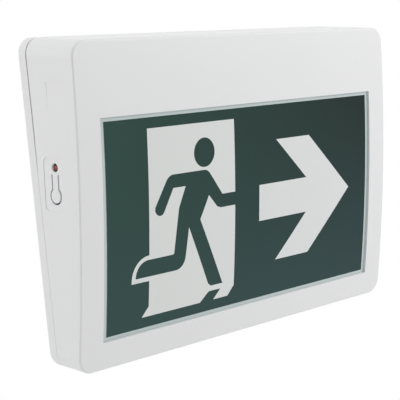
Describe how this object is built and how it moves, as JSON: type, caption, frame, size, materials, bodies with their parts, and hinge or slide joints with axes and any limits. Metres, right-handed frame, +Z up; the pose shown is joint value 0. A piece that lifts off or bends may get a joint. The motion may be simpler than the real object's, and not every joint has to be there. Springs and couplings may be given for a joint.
{
  "type": "emergency exit light",
  "caption": "Wall-mounted edge-lit exit sign light: wedge-shaped white case with a convex legend window, battery and charger inside, test button and status lamp in its side.",
  "frame": {"origin": "centre of the cable entry, in the middle of the flat back face that goes against the wall", "axes": "+Y into the wall, square to the back face; +Z up; +X along the sign's length, to the right of someone who faces it. The legend faces -Y and leans forward by 7.5 degrees"},
  "size_m": [0.341, 0.0574, 0.2338],
  "materials": {
    "case_white": "satin moulded plastic",
    "opal_acrylic": "translucent acrylic, satin",
    "legend_print": "dark green screen print",
    "reflector_white": "bright white",
    "zinc_steel": "bright zinc",
    "board_white": "white solder mask",
    "lamp_yellow": "phosphor resin",
    "board_green": "green solder mask",
    "black_plastic": "moulded",
    "switch_grey": "moulded",
    "lamp_red": "tinted epoxy",
    "nylon": "natural nylon",
    "core_steel": "laminated steel",
    "can_sleeve": "shrink sleeve",
    "terminal_green": "moulded",
    "pack_sleeve": "shrink sleeve",
    "spring_steel": "bright",
    "lead_red": "PVC",
    "lead_white": "PVC",
    "lead_grey": "PVC"
  },
  "bodies": {
    "case": {"front_cover": "case_white", "back_plate": "case_white", "legend_panel": "opal_acrylic", "legend_film": "legend_print", "light_box": "reflector_white", "light_box_screws": "zinc_steel", "main_board_screw": "zinc_steel", "battery_strap_screw": "zinc_steel", "terminal_screws": "zinc_steel", "led_strip": "board_white", "leds": "lamp_yellow", "side_board": "board_green", "main_board": "board_green", "test_switch_body": "black_plastic", "status_lamp": "lamp_red", "lamp_spacer": "nylon", "transformer": "core_steel", "capacitors": "can_sleeve", "transfer_relay": "black_plastic", "terminal_block": "terminal_green", "board_headers": "nylon", "lead_plugs": "nylon", "battery_pack": "pack_sleeve", "battery_strap": "spring_steel", "battery_lead": "lead_red", "lamp_lead": "lead_white", "control_lead": "lead_grey"},
    "test_button": {"test_button": "case_white"},
    "switch_plunger": {"test_switch_plunger": "switch_grey"}
  },
  "joints": [
    {"name": "button_flex", "type": "hinge", "parent": "case", "child": "test_button", "pos_m": [-0.16905, -0.02646, 0.01965], "axis": [0, -0.9973, -0.0732], "range_deg": [0, 4], "stiffness_Nm_per_rad": 0.5},
    {"name": "plunger_slide", "type": "slide", "parent": "case", "child": "switch_plunger", "axis": [1, 0, 0], "range_m": [0, 0.0011]}
  ],
  "couplings": [
    {"joint": "plunger_slide", "follows": "button_flex", "m_per_rad": 0.0144}
  ]
}
